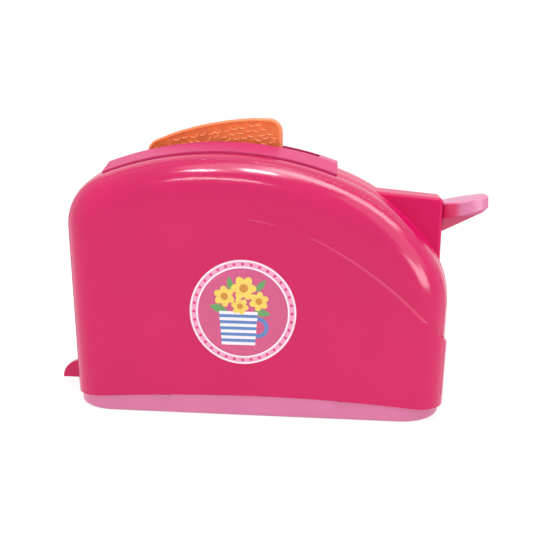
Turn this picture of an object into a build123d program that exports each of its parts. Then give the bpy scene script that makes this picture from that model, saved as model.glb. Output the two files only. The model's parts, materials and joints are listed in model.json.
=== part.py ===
from build123d import *
import math
import os

# Toy toaster. Millimetres, +Z up, X along the length, the front faces -Y.
# The origin is the centre of the base underside.

# Overall form
rim_half_length = 84.75     # half length of the shells at their lower rim
half_depth = 36.0           # half depth over the two flat faces
draft = 1.5                 # degrees, the end walls lean out going up
wall = 2.2
rim_middle_height = 9.7     # the lower rim is arched: high in the middle
rim_end_height = 5.7
foot_height = 4.5           # the raw mouldings reach down to here before the rim is cut
seam = 0.05                 # left between fixed pieces that meet on curved faces

# Side outline: left corner, crown, brow and sweep arcs, each tangent to the next
corner_start_height = 83.7
corner_radius = 24.45
crown_start_slope = 21.1    # degrees above level where the corner meets the crown
brow_start_slope = 22.6     # degrees below level
brow_radius = 88.0
sweep_start_slope = 55.8    # degrees below level
sweep_radius = 40.3

# Shells
shoulder_radius = 16.0
core_chamfer = 10.0         # inside the rounded shoulder
band_half_width = 19.5      # from the middle plane to the parting lines
parting_gap = 0.35
panel_step = 1.0            # the lower right panel stands this proud of the face
panel_start_inset = 87.5    # from the right end to where the panel's upper edge starts
panel_start_height = 90.0
panel_start_slope = 6.0     # degrees below level
panel_bend_radius = 98.0
panel_bend_turn = 22.5      # degrees
panel_run_radius = 175.0
panel_run_turn = 26.0
panel_lead = 12.0           # straight start of the edge, where the step is nil
panel_fade_lean = 21.8      # degrees, lean of the line along which the step is nil
panel_fade_length = 45.0    # from that line to the full step
panel_edge_slant = 50.0     # degrees, the panel's upper edge slopes back from the face

# Centre band
band_rise = 0.9             # the band stands this proud between its two parting lines
band_flat_half_width = 13.0
lip_gap = 0.15
lip_thickness = 1.2
lip_reach = 3.0
lip_root = 4.5
lip_lowest = 14.0

# Slot collar and the bread slot in it
collar_left_inset = 13.7    # from the left end of the shells
collar_right_inset = 49.5   # from the right end of the shells
collar_end_draft = 3.5      # degrees
collar_edge_rise = 1.0
collar_rise = 4.35
slot_end_left = 10.3        # from the collar's left end to the slot
slot_end_right = 8.5
slot_half_width = 7.0
slot_corner = 2.5
collar_land = 1.0           # flat edge round the slot
skirt_thickness = 1.6
skirt_bottom = 100.0
skirt_clearance = 0.2

# Lever housing
housing_half_width = 10.0
housing_wall = 2.0
housing_face_inset = 1.4    # right face at its top corner, from the right end of the rim
housing_face_lean = 0.5     # degrees, the face draws in going down
housing_top_height = 97.2   # at the right face
housing_top_slope = 5.4     # degrees
housing_start_gap = 4.0     # from the collar
housing_bottom = 31.0
housing_inner_height = 80.0
housing_inner_reach = 12.0
housing_edge_radius = 1.8
lever_slot_clearance = 0.8

# Rocker arm: a bell crank that turns about the pivot
pivot_inset = 14.75         # from the left end of the rim
pivot_z = 55.5
lever_headroom = 12.3       # from the arm's middle line to the housing top, at the face
arm_travel = 16.0           # degrees, lever up to lever down
pin_radius = 2.5
pin_end_inset = 12.0        # from each flat face to the pin's end
pin_running_clearance = 0.06
pin_seat_clearance = 0.05
hub_radius = 7.5
hub_half_width = 5.0
arm_half_width = 3.0
arm_top = 3.0
arm_bottom = 3.5
arm_web_half_width = 1.1
arm_flange = 1.6
arm_pocket_gap = 4.0
tongue_top = 4.8
tongue_bottom = 0.9
tongue_lead = 2.0           # the tongue starts this far inside the housing face
tongue_overlap = 0.5        # the bar runs this far past the start of the tongue
rest_half_width = 5.4
rest_thickness = 2.0
rest_stop_height = 3.5
rest_stop_thickness = 1.6
rest_end_gap = 1.3          # from the slice's foot to each end stop
tail_half_width = 1.6
tail_bottom = 2.9
tail_height = 8.8
tail_reach = 15.6           # past the left end of the rim
tail_bend_radius = 5.0
leg_left = 1.0              # leg edges, from the pivot
leg_right = 8.0
tail_slot_clearance = 0.8
tail_slot_headroom = 5.1

# Pivot bosses and washers
boss_radius = 5.5
washer_radius = 6.0
washer_thickness = 1.2
washer_gap = 0.3

# Lever knob: measured along the arm and from the arm's middle line
knob_gap = 0.5              # from the housing face to the knob
knob_middle_reach = 10.9    # from the housing face to the middle of the plate
knob_half_length = 13.0
knob_half_width = 9.0
knob_side_radius = 18.0     # the long sides bulge
knob_tip_reach = 11.9       # from the knob's middle to the end of its top
knob_tip_corner = 2.5
knob_plate_top = 9.7
knob_plate_bottom = 2.5     # at the near end
knob_plate_lift = 1.5       # the plate's underside rises this much to the tip
knob_edge = 1.4
knob_wedge_bottom = -3.0    # where the wedge starts at the housing
knob_wedge_half_width = 4.6
knob_heel_reach = 2.9       # from the tip's lower corner to the end of the wedge
knob_heel_drop = 1.8
knob_socket_depth = 9.5
knob_socket_clearance = 0.05

# Play slice
slice_play = 23.2           # how much longer the slot is than the slice
toast_height = 60.9
toast_thickness = 8.0
toast_crown = 4.0
toast_lobe_radius = 6.5
toast_lobe_flare = 1.0      # from the lobe's widest point to its corner before rounding
toast_waist_depth = 2.4
toast_waist_height = 39.0
toast_bend_radius = 3.0
toast_foot_radius = 4.0
toast_edge = 1.2
toast_seat_gap = 0.3
toast_end_gap = 0.8         # from the lowered slice to the right end of the slot

# Toast guides
guide_gap = 0.2
guide_thickness = 1.8
guide_left_overlap = 1.0    # past the slot's ends
guide_right_overlap = 3.5
guide_bottom = 44.0
guide_skirt_gap = 1.0
guide_rib_depth = 2.5
guide_rib_thickness = 1.6
standoff_radius = 4.0
standoff_end_inset = 11.0
standoff_top_inset = 15.0
standoff_bottom_inset = 12.0
peg_radius = 1.8
peg_length = 4.0
peg_clearance = 0.05

# Base tray
base_inset = 0.5
base_corner = 19.0
base_floor = 2.4
base_wall = 2.2
base_edge = 0.8
base_lip_height = 3.0
base_lip_gap = 0.2
base_lip_thickness = 1.4
lip_overlap = 0.5           # root of the lip inside the floor
lug_inset = 44.55           # from each end to the small lug under the shell's rim
lug_width = 4.0
lug_height = 1.0
lug_drop = 0.3              # from the rim to the top of the lug

# Stop pads
pad_thickness = 3.0
pad_gap = 0.3
up_pad_length = 8.0
up_pad_side_gap = 0.6
stop_post_inset = 25.5      # from the right end of the rim
stop_post_radius = 4.5

# Screws
screw_shank_radius = 1.45
screw_head_radius = 2.9
screw_head_height = 1.6
screw_head_edge = 0.5
screw_clearance = 0.05
screw_tip_room = 1.0
base_screw_end_inset = 23.5
base_screw_side_inset = 12.0
base_screw_seat = 3.0
base_screw_top = 15.0
base_boss_radius = 5.0
base_boss_top = 6.0
shell_boss_radius = 3.6
shell_boss_height = 24.0
boss_rib_half_thickness = 1.0
corner_screw_inset = 9.5    # upper left screw, from the left end
corner_screw_rise = 2.5     # above the start of the corner
lower_screw_height = 22.0
lower_left_screw_inset = 33.5
lower_right_screw_inset = 15.5
upper_right_screw_gap = 2.0 # from the collar's right end
upper_right_screw_drop = 6.0
shell_screw_length = 20.0
post_radius = 4.6
post_meeting_y = 1.0
screw_well_y = 12.0

# Sticker
sticker_x = -4.55
sticker_z = 48.6
sticker_radius = 24.0
sticker_thickness = 0.25

top_clearance = 200.0       # anything taller than the object
clear_length = 400.0        # anything longer than the object
past = 5.0                  # how far cutting shapes run past a face
level_tolerance = 0.1       # points this near a height are taken to lie on it

# Places that follow from the sizes above
collar_left = collar_left_inset - rim_half_length
collar_right = rim_half_length - collar_right_inset
slot_left = collar_left + slot_end_left
slot_right = collar_right - slot_end_right
housing_face_x = rim_half_length - housing_face_inset
housing_left = collar_right + housing_start_gap
pivot_x = pivot_inset - rim_half_length
pin_half_length = half_depth - pin_end_inset
lever_reach = housing_face_x - pivot_x
arm_slope = math.degrees(math.atan2(housing_top_height - lever_headroom - pivot_z, lever_reach))
lowered_slope = arm_slope - arm_travel
tail_tip_x = -rim_half_length - tail_reach
toast_half_width = (slot_right - slot_left - slice_play) / 2
guide_left = slot_left - guide_left_overlap
guide_right = slot_right + guide_right_overlap
guide_top = skirt_bottom - guide_skirt_gap
standoff_places = (
    (guide_left + standoff_end_inset, guide_top - standoff_top_inset),
    (guide_right - standoff_end_inset, guide_top - standoff_top_inset),
    ((guide_left + guide_right) / 2, guide_bottom + standoff_bottom_inset),
)
stop_post_x = rim_half_length - stop_post_inset
base_screw_x = rim_half_length - base_screw_end_inset
base_screw_y = half_depth - base_screw_side_inset
shell_screw_places = (
    (corner_screw_inset - rim_half_length, corner_start_height + corner_screw_rise),
    (lower_left_screw_inset - rim_half_length, lower_screw_height),
    (rim_half_length - lower_right_screw_inset, lower_screw_height),
    (collar_right + upper_right_screw_gap, skirt_bottom - upper_right_screw_drop),
)


def sin(degrees):
    return math.sin(math.radians(degrees))


def cos(degrees):
    return math.cos(math.radians(degrees))


def tan(degrees):
    return math.tan(math.radians(degrees))


def side_prism(sketch, y_from, y_to):
    """Carries a sketch drawn in (x, z) from y_from to y_to."""
    return extrude(Plane.XZ.offset(-y_to) * sketch, amount=y_to - y_from)


def plan_prism(sketch, z_from, z_to):
    """Carries a sketch drawn in (x, y) from z_from up to z_to."""
    return extrude(Pos(0, 0, z_from) * sketch, amount=z_to - z_from)


def block(x_from, x_to, y_from, y_to, z_from, z_to):
    middle = ((x_from + x_to) / 2, (y_from + y_to) / 2, (z_from + z_to) / 2)
    return Pos(*middle) * Box(x_to - x_from, y_to - y_from, z_to - z_from)


def cross_rod(x, z, radius, y_from, y_to):
    """A cylinder along Y."""
    return side_prism(Pos(x, z) * Circle(radius), y_from, y_to)


def upright_rod(x, y, radius, z_from, z_to):
    return plan_prism(Pos(x, y) * Circle(radius), z_from, z_to)


def half_length_at(height, grow, step):
    """Half length of the outline's end wall at a height."""
    return rim_half_length + step + (height - rim_end_height) * tan(draft) + grow / cos(draft)


def crown_radius():
    """Crown radius with which the chain of arcs ends on the right wall."""
    corner_x = corner_radius * (cos(draft) - sin(crown_start_slope))
    corner_z = corner_radius * (cos(crown_start_slope) + sin(draft))
    brow_x = brow_radius * (sin(sweep_start_slope) - sin(brow_start_slope))
    brow_z = brow_radius * (cos(sweep_start_slope) - cos(brow_start_slope))
    sweep_x = sweep_radius * (cos(draft) - sin(sweep_start_slope))
    sweep_z = -sweep_radius * (sin(draft) + cos(sweep_start_slope))
    end_height = corner_start_height + corner_z + brow_z + sweep_z
    missing = half_length_at(end_height, 0.0, 0.0) + half_length_at(corner_start_height, 0.0, 0.0)
    missing -= corner_x + brow_x + sweep_x
    run = sin(crown_start_slope) + sin(brow_start_slope)
    rise = cos(brow_start_slope) - cos(crown_start_slope)
    return missing / (run - rise * tan(draft))


def outline(grow=0.0, step=0.0):
    """Side outline in (x, z), grown outward all round, with the right wall moved out by step."""
    wall_foot = (-half_length_at(foot_height, grow, 0.0), foot_height)
    corner_foot = (
        -half_length_at(corner_start_height, 0.0, 0.0) - grow * cos(draft),
        corner_start_height - grow * sin(draft),
    )
    left_wall = Line(wall_foot, corner_foot)
    up_the_wall = (-sin(draft), cos(draft))
    corner = JernArc(corner_foot, up_the_wall, corner_radius + grow, crown_start_slope - 90 - draft)
    crown = JernArc(corner @ 1, corner % 1, crown_radius() + grow, -crown_start_slope - brow_start_slope)
    brow = JernArc(crown @ 1, crown % 1, brow_radius + grow, brow_start_slope - sweep_start_slope)
    reach = half_length_at((brow @ 1).Y, grow, step) - (brow @ 1).X
    run = cos(draft) - sin(sweep_start_slope)
    drop = cos(sweep_start_slope) + sin(draft)
    last_radius = reach / (run + drop * tan(draft))
    sweep = JernArc(brow @ 1, brow % 1, last_radius, sweep_start_slope - 90 - draft)
    right_foot = (half_length_at(foot_height, grow, step), foot_height)
    right_wall = Line(sweep @ 1, right_foot)
    closing = Line(right_foot, wall_foot)
    return make_face([left_wall, corner, crown, brow, sweep, right_wall, closing])


def outline_form(grow, y_from, y_to):
    return side_prism(outline(grow), y_from, y_to)


def rim_radius():
    sagitta = rim_middle_height - rim_end_height
    return (rim_half_length**2 + sagitta**2) / (2 * sagitta)


def rim_height(x):
    return rim_middle_height - rim_radius() + math.sqrt(rim_radius() ** 2 - x**2)


def rim_drum(rise, y_from, y_to):
    """Everything under the arched lower rim, raised by rise."""
    return cross_rod(0.0, rim_middle_height + rise - rim_radius(), rim_radius(), y_from, y_to)


def front_edges(form):
    """Edges round the foremost face, but not the one at the foot."""
    front = form.faces().sort_by(Axis.Y)[0]
    return [edge for edge in front.edges() if edge.center().Z > foot_height + 1]


def front_half(form):
    """What lies in front of the front parting line."""
    return form & block(-clear_length, clear_length, -half_depth - past, -band_half_width, 0, top_clearance)


def rounded_form(step):
    form = side_prism(outline(0.0, step), -half_depth - step, 0)
    return fillet(front_edges(form), shoulder_radius)


def offset_chamfer(length, inset):
    """Chamfer length that keeps an even distance between a chamfered corner and one inset from it."""
    return length - inset * (2 - math.sqrt(2))


def core_form(inset, y_back):
    """Inside of the shell, inset from the outside, from the front wall back to y_back."""
    form = side_prism(outline(-inset), -half_depth + inset, y_back)
    return chamfer(front_edges(form), offset_chamfer(core_chamfer, inset - wall))


def panel_upper_edge():
    """Upper edge of the proud panel: level at first, then sweeping down to the right."""
    heading = (cos(panel_start_slope), -sin(panel_start_slope))
    start = (rim_half_length - panel_start_inset, panel_start_height)
    lead = Line((start[0] - panel_lead * heading[0], start[1] - panel_lead * heading[1]), start)
    bend = JernArc(start, heading, panel_bend_radius, -panel_bend_turn)
    run = JernArc(bend @ 1, bend % 1, panel_run_radius, -panel_run_turn)
    return lead, bend, run


def proud_panel():
    """Lower right panel, which fades into the face towards the upper left."""
    lead, bend, run = panel_upper_edge()
    right = (run @ 1).X
    left = (lead @ 0).X
    lower_edge = Polyline(run @ 1, (right, 0), (left, 0), lead @ 0)
    region_face = Plane.XZ.offset(half_depth) * make_face([lead, bend, run, lower_edge])
    region = extrude(region_face, amount=-half_depth)
    region += extrude(region_face, amount=past, taper=panel_edge_slant)
    start_x = (bend @ 0).X
    rate = panel_step / panel_fade_length
    across = rate * cos(panel_fade_lean)
    down = rate * sin(panel_fade_lean)
    origin = (start_x, -half_depth, panel_start_height)
    fade = Plane(origin=origin, x_dir=(1, -across, 0), z_dir=(-across, -1, -down))
    beyond = extrude(fade * Rectangle(clear_length, clear_length), amount=2 * past)
    return (rounded_form(panel_step) & region) - beyond


def shell_form():
    """One shell as a hollow moulding, drawn as the front one."""
    outer = rounded_form(0.0) + proud_panel()
    shell = front_half(outer - core_form(wall, 0))
    return shell - rim_drum(0.0, -half_depth - past, 0)


def shell_fittings(post_end_y):
    """Bosses, posts and pegs inside the front shell."""
    inside = -half_depth + wall / 2
    rib_bottom = rim_middle_height + base_lip_height + base_lip_gap
    fittings = cross_rod(pivot_x, pivot_z, boss_radius, inside, -washer_face() - washer_thickness)
    for x, z in shell_screw_places:
        fittings += cross_rod(x, z, post_radius, inside, post_end_y)
    for x, z in standoff_places:
        fittings += cross_rod(x, z, peg_radius, inside, -half_depth + wall + peg_length)
    foot = base_boss_top + screw_clearance
    bore = screw_shank_radius + screw_clearance
    for x in (-base_screw_x, base_screw_x):
        boss = upright_rod(x, -base_screw_y, shell_boss_radius, foot, shell_boss_height)
        boss += block(
            x - boss_rib_half_thickness, x + boss_rib_half_thickness, inside, -base_screw_y,
            rib_bottom, shell_boss_height,
        )
        fittings += boss - upright_rod(x, -base_screw_y, bore, 0, base_screw_top + screw_tip_room)
    fittings &= core_form(wall / 2, post_meeting_y)
    bore_from = -pin_half_length - pin_seat_clearance
    return fittings - cross_rod(pivot_x, pivot_z, pin_radius + pin_seat_clearance, bore_from, 0)


def washer_face():
    """Distance from the middle plane to the inner face of a washer."""
    return hub_half_width + washer_gap


def front_shell():
    shell = shell_form() + shell_fittings(post_meeting_y)
    bore_from = screw_well_y - shell_screw_length - screw_tip_room
    for x, z in shell_screw_places:
        shell -= cross_rod(x, z, screw_shank_radius + screw_clearance, bore_from, post_meeting_y)
    return shell


def rear_shell():
    shell = mirror(shell_form() + shell_fittings(-post_meeting_y), about=Plane.XZ)
    for x, z in shell_screw_places:
        shell -= cross_rod(x, z, screw_shank_radius + screw_clearance, 0, half_depth + past)
        shell -= cross_rod(x, z, screw_head_radius + screw_clearance, screw_well_y, half_depth + past)
    return shell


def crowned_form(middle_grow, edge_grow, flat_half_width):
    """Outline form between the parting lines, proud in the middle and sloping to both edges."""
    edge = band_half_width - parting_gap
    form = outline_form(middle_grow, -edge, edge)
    for order in (0, -1):
        face = form.faces().sort_by(Axis.Y)[order]
        edges = [item for item in face.edges() if item.center().Z > foot_height + 1]
        form = chamfer(edges, middle_grow - edge_grow, edge - flat_half_width, reference=face)
    return form


def band_outer(grow=0.0):
    return crowned_form(band_rise + grow, grow, band_flat_half_width)


def band_lips():
    """Tongues on both edges of the band that reach under the shells, clear of their cores."""
    edge = band_half_width - parting_gap
    past_core = max(0.0, edge + lip_reach - half_depth + wall + core_chamfer)
    outside = -wall - lip_gap - past_core
    lips = Part()
    for side in (-1, 1):
        reach = sorted((side * (edge - lip_root), side * (edge + lip_reach)))
        root = sorted((side * (edge - lip_root), side * edge))
        inside = outside - lip_thickness
        lips += outline_form(outside, *reach) - outline_form(inside, *reach)
        lips += outline_form(-wall / 2, *root) - outline_form(inside, *root)
    return lips - block(-clear_length, clear_length, -half_depth, half_depth, 0, lip_lowest)


def housing_profile(inset):
    """Side profile of the lever housing in (x, z), its top and right faces drawn in by inset."""
    face_x = housing_face_x - inset
    top_right = housing_top_height - inset
    top_left = top_right + (face_x - housing_left) * tan(housing_top_slope)
    foot_x = face_x - (top_right - housing_bottom) * tan(housing_face_lean)
    inner_x = foot_x - 2 * up_pad_length
    outside = ((housing_left, top_left), (face_x, top_right), (foot_x, housing_bottom))
    inside = (
        (inner_x, housing_bottom), (housing_left + housing_inner_reach, housing_inner_height),
        (housing_left, housing_inner_height + past),
    )
    return make_face(Polyline(*outside, *inside, close=True))


def lever_housing_form():
    """Solid housing, with its top and right edges rounded."""
    form = side_prism(housing_profile(0.0), -housing_half_width, housing_half_width)
    outer_edges = []
    for edge in form.edges():
        middle = edge.center()
        on_top = middle.Z > housing_top_height - 1 and middle.X > housing_left + 1
        on_face = middle.X > housing_face_x - housing_wall and middle.Z > housing_bottom + 1
        if on_top or on_face:
            outer_edges.append(edge)
    return fillet(outer_edges, housing_edge_radius)


def lever_opening():
    """Slot in the housing face, as long as the arm's end needs from lever up to lever down."""
    reach = arm_half_width + lever_slot_clearance
    low = arm_height_at(housing_face_x, lowered_slope, -arm_bottom) - lever_slot_clearance
    high = arm_height_at(housing_face_x, arm_slope, tongue_top) + lever_slot_clearance
    return block(housing_face_x - 2 * housing_wall, housing_face_x + past, -reach, reach, low, high)


def tail_opening():
    reach = tail_half_width + tail_slot_clearance
    high = tail_bottom + tail_height + tail_slot_headroom
    return block(-rim_half_length - past, -rim_half_length + 2 * past, -reach, reach, base_floor, high)


def slot_plan(grow):
    length = slot_right - slot_left + 2 * grow
    width = 2 * (slot_half_width + grow)
    middle = (slot_left + slot_right) / 2
    return Pos(middle, 0) * RectangleRounded(length, width, slot_corner + grow)


def face_recess():
    """Room beside the housing face, where the band is cut back to it."""
    lean = (housing_top_height - housing_bottom) * tan(housing_face_lean)
    right = housing_face_x + housing_half_width
    points = (
        (housing_face_x, housing_top_height), (right, housing_top_height),
        (right, housing_bottom), (housing_face_x - lean, housing_bottom),
    )
    return side_prism(make_face(Polyline(*points, close=True)), -housing_half_width, housing_half_width)


def pad_shelf():
    """Rib across the housing that holds the upper stop pad."""
    low = up_pad_top()
    half = housing_half_width - housing_wall / 2
    right = housing_face_x - housing_wall / 2
    return block(up_pad_right() - up_pad_length, right, -half, half, low, low + housing_wall)


def centre_band():
    width = 2 * band_half_width
    inner = outline_form(-wall, -width, width)
    ring = band_outer() - inner - face_recess()
    inner_half = housing_half_width - housing_wall
    hollow = side_prism(housing_profile(housing_wall), -inner_half, inner_half)
    lean = (housing_top_height - housing_bottom) * tan(housing_face_lean)
    plate_left = housing_face_x - lean - housing_wall
    trim = inner & block(-clear_length, plate_left, -width, width, 0, top_clearance)
    band = ring + band_lips() + (lever_housing_form() - trim) - hollow + pad_shelf()
    band -= lever_opening()
    band -= tail_opening()
    band -= plan_prism(slot_plan(skirt_thickness + skirt_clearance), housing_inner_height, top_clearance)
    return band - rim_drum(0.0, -width, width)


def slot_collar():
    form = crowned_form(collar_rise, collar_edge_rise, slot_half_width + collar_land)
    spread = (top_clearance - skirt_bottom) * tan(collar_end_draft)
    foot_spread = (corner_start_height + corner_radius - skirt_bottom) * tan(collar_end_draft)
    left = collar_left - foot_spread
    right = collar_right + foot_spread
    ends = (
        (left, skirt_bottom), (right, skirt_bottom),
        (right - spread, top_clearance), (left + spread, top_clearance),
    )
    between_ends = side_prism(make_face(Polyline(*ends, close=True)), -half_depth, half_depth)
    collar = (form & between_ends) - band_outer(seam)
    skirt_ring = slot_plan(skirt_thickness) - slot_plan(0.0)
    skirt = plan_prism(skirt_ring, skirt_bottom, top_clearance) & form
    return collar + skirt - plan_prism(slot_plan(0.0), skirt_bottom - 1, top_clearance)


def on_arm(shape):
    """Moves a shape drawn about the pivot, with X along the arm, to its place with the lever up."""
    return Pos(pivot_x, 0, pivot_z) * Rot(0, -arm_slope, 0) * shape


def tongue_start():
    """Start of the tongue along the arm, just inside the housing face."""
    return (lever_reach - tongue_lead) / cos(arm_slope) + arm_top * tan(arm_slope)


def knob_root():
    """From the pivot along the arm to the knob's near end."""
    return (lever_reach + knob_gap) / cos(arm_slope)


def arm_length():
    """From the pivot to the end of the tongue, the full depth of the socket past the knob's root."""
    return knob_root() + knob_socket_depth


def arm_tongue(clearance):
    """End of the arm that carries the knob, grown by a clearance."""
    reach = arm_half_width + clearance
    low = tongue_bottom - clearance
    return block(tongue_start(), arm_length() + clearance, -reach, reach, low, tongue_top + clearance)


def toast_offset():
    """Middle of the slice along the arm: lowered, its right lobe clears the end of the slot."""
    lobe_height = arm_top + toast_seat_gap + toast_height - toast_crown - toast_lobe_radius
    lobe_reach = slot_right - toast_end_gap - pivot_x + lobe_height * sin(lowered_slope)
    return lobe_reach / cos(lowered_slope) - toast_half_width


def rest_half_length():
    return toast_half_width - toast_waist_depth + rest_end_gap + rest_stop_thickness


def rocker_arm():
    bar = block(0, tongue_start() + tongue_overlap, -arm_half_width, arm_half_width, -arm_bottom, arm_top)
    bar += arm_tongue(0.0)
    rest_start = toast_offset() - rest_half_length()
    rest_end = toast_offset() + rest_half_length()
    pocket_ends = (
        (hub_radius + arm_pocket_gap, rest_start - arm_pocket_gap / 2),
        (rest_end + arm_pocket_gap, tongue_start() - 2 * arm_pocket_gap),
    )
    for start, end in pocket_ends:
        for side in (-1, 1):
            sides = sorted((side * 2 * arm_half_width, side * arm_web_half_width))
            bar -= block(start, end, *sides, -arm_bottom + arm_flange, arm_top - arm_flange)
    rest_low = arm_top - rest_thickness
    rest = block(rest_start, rest_end, -rest_half_width, rest_half_width, rest_low, arm_top)
    for position in (rest_start, rest_end - rest_stop_thickness):
        rest += block(
            position, position + rest_stop_thickness, -rest_half_width, rest_half_width,
            rest_low, arm_top + rest_stop_height,
        )
    arm = on_arm(bar + rest)
    arm += cross_rod(pivot_x, pivot_z, hub_radius, -hub_half_width, hub_half_width)
    arm += side_prism(tail_profile(), -tail_half_width, tail_half_width)
    bore = pin_radius + pin_running_clearance
    return arm - cross_rod(pivot_x, pivot_z, bore, -hub_half_width - 1, hub_half_width + 1)


def tail_profile():
    """Leg from the hub down to the tail, which ends in a quarter-round fin."""
    left = pivot_x - leg_left
    right = pivot_x + leg_right
    top = tail_bottom + tail_height
    round_start = tail_tip_x + tail_height
    leg_head = pivot_z - hub_radius / 2
    fin_round = JernArc((round_start, top), (-1, 0), tail_height, 90)
    corners = ((right, tail_bottom), (right, leg_head), (left, leg_head), (left, top))
    radii = [tail_bend_radius, leg_left / 2, leg_left / 2, 2 * leg_left]
    rest = FilletPolyline(fin_round @ 1, *corners, (round_start, top), radius=radii)
    return make_face([fin_round, rest])


def knob_plan():
    """Finger plate seen along its normal: two bulged sides and a flat tip."""
    shift = knob_side_radius - knob_half_width
    plan = Pos(0, shift) * Circle(knob_side_radius) & Pos(0, -shift) * Circle(knob_side_radius)
    length = knob_half_length + knob_tip_reach
    plan &= Pos((knob_tip_reach - knob_half_length) / 2, 0) * Rectangle(length, 2 * knob_half_width)
    tips = plan.vertices().sort_by(Axis.X)[-2:]
    return fillet(tips, knob_tip_corner)


def lever_knob():
    """Finger plate over a wedge that takes the arm's tongue. Its tip is upright with the lever up."""
    middle = lever_reach / cos(arm_slope) + knob_middle_reach
    left = middle - knob_half_length
    tip = middle + knob_tip_reach
    tip_bottom = knob_plate_bottom + knob_plate_lift
    end = tip - (knob_plate_top - tip_bottom) * tan(arm_slope)
    heel = (end - knob_heel_reach, tip_bottom - knob_heel_drop)
    slope = (heel[1] - knob_wedge_bottom) / (heel[0] - knob_root())
    wedge_left = (left, knob_wedge_bottom - slope * (knob_root() - left))
    column = plan_prism(Pos(middle, 0) * knob_plan(), wedge_left[1] - 1, knob_plate_top)
    column = fillet(column.faces().sort_by(Axis.Z)[-1].edges(), knob_edge)
    above = (tip + past * tan(arm_slope), knob_plate_top + past)
    plate_side = Polyline((left, knob_plate_bottom), (end, tip_bottom), above, (left, above[1]), close=True)
    wedge_side = Polyline((left, tip_bottom), (end, tip_bottom), heel, wedge_left, close=True)
    form = column & side_prism(make_face(plate_side), -past - knob_half_width, past + knob_half_width)
    form += column & side_prism(make_face(wedge_side), -knob_wedge_half_width, knob_wedge_half_width)
    form -= arm_tongue(knob_socket_clearance)
    face = housing_face_x + knob_gap
    return on_arm(form) - block(-clear_length, face, -half_depth, half_depth, 0, top_clearance)


def pivot_pin():
    return cross_rod(pivot_x, pivot_z, pin_radius, -pin_half_length, pin_half_length)


def pivot_washer(side):
    inner = washer_face()
    span = sorted((side * inner, side * (inner + washer_thickness)))
    disc = cross_rod(pivot_x, pivot_z, washer_radius, *span)
    return disc - cross_rod(pivot_x, pivot_z, pin_radius + pin_seat_clearance, *span)


def toast_profile():
    """Bread slice in (x, z) with its middle at x = 0 and its foot at z = 0."""
    waist = toast_half_width - toast_waist_depth
    shoulder = toast_height - toast_crown
    right_side = ((waist, 0), (waist, toast_waist_height), (toast_half_width + toast_lobe_flare, shoulder))
    left_side = tuple((-x, height) for x, height in reversed(right_side))
    crown = ThreePointArc(right_side[-1], (0, toast_height), left_side[0])
    slice_face = make_face([crown, Polyline(*left_side, *right_side)])
    rounding = (
        (0, toast_foot_radius), (shoulder, toast_lobe_radius), (toast_waist_height, toast_bend_radius),
    )
    for height, radius in rounding:
        corners = [item for item in slice_face.vertices() if abs(item.Y - height) < level_tolerance]
        slice_face = fillet(corners, radius)
    return slice_face


def toast_slice():
    slab = side_prism(toast_profile(), -toast_thickness / 2, toast_thickness / 2)
    slab = chamfer(slab.edges().filter_by(Axis.Y, reverse=True), toast_edge)
    return on_arm(Pos(toast_offset(), 0, arm_top + toast_seat_gap) * slab)


def toast_guide(side):
    """Guide wall with ribs behind it and standoffs that sit over the shell's pegs."""
    near = slot_half_width + guide_gap
    far = near + guide_thickness
    back = -far - guide_rib_depth
    half_rib = guide_rib_thickness / 2
    plate = block(guide_left, guide_right, -far, -near, guide_bottom, guide_top)
    inside = half_depth - wall
    for x, z in standoff_places:
        plate += cross_rod(x, z, standoff_radius, -inside, -near - guide_thickness / 2)
        plate += block(x - half_rib, x + half_rib, back, -far, guide_bottom, guide_top)
    plate += block(guide_left, guide_right, back, -far, guide_top - guide_rib_thickness, guide_top)
    for x, z in standoff_places:
        plate -= cross_rod(x, z, peg_radius + peg_clearance, -inside - 1, -inside + peg_length + 1)
    if side > 0:
        plate = mirror(plate, about=Plane.XZ)
    return plate


def shell_plan(inset, corner):
    return RectangleRounded(2 * (rim_half_length - inset), 2 * (half_depth - inset), corner)


def core_plan(inset):
    """Plan of the shells' inside at the rim, inset from the outside."""
    plan = Rectangle(2 * (rim_half_length - inset), 2 * (half_depth - inset))
    return chamfer(plan.vertices(), offset_chamfer(core_chamfer, inset - wall))


def base():
    lip_inset = wall + base_lip_gap
    tall = 2 * rim_middle_height
    tray = plan_prism(shell_plan(base_inset, base_corner), 0, tall)
    tray = chamfer(tray.faces().sort_by(Axis.Z)[0].edges(), base_edge)
    tray &= rim_drum(-seam, -half_depth, half_depth)
    tray -= plan_prism(shell_plan(base_inset + base_wall, base_corner - base_wall), base_floor, top_clearance)
    lip_ring = core_plan(lip_inset) - core_plan(lip_inset + base_lip_thickness)
    lip = plan_prism(lip_ring, base_floor - lip_overlap, tall)
    tray += lip & rim_drum(base_lip_height, -half_depth, half_depth)
    tray += upright_rod(stop_post_x, 0, stop_post_radius, base_floor - lip_overlap, down_pad_bottom())
    lug_reach = half_depth - base_inset - base_wall / 2
    for x in (lug_inset - rim_half_length, rim_half_length - lug_inset):
        lug_top = rim_height(x) - lug_drop
        for span in ((-half_depth, -lug_reach), (lug_reach, half_depth)):
            tray += block(x - lug_width / 2, x + lug_width / 2, *span, lug_top - lug_height, lug_top)
    for x in (-base_screw_x, base_screw_x):
        for y in (-base_screw_y, base_screw_y):
            tray += upright_rod(x, y, base_boss_radius, 0, base_boss_top)
            tray -= upright_rod(x, y, screw_shank_radius + screw_clearance, 0, base_boss_top)
            tray -= upright_rod(x, y, screw_head_radius + screw_clearance, 0, base_screw_seat)
    return tray - tail_opening()


def arm_height_at(x, slope, offset):
    """Height at x of the arm's edge that lies offset above its middle line, at a slope."""
    return pivot_z + (x - pivot_x) * tan(slope) + offset / cos(slope)


def up_pad_right():
    return housing_face_x - housing_wall - up_pad_side_gap


def up_pad_top():
    return arm_height_at(up_pad_right(), arm_slope, arm_top) + pad_gap + pad_thickness


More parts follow.
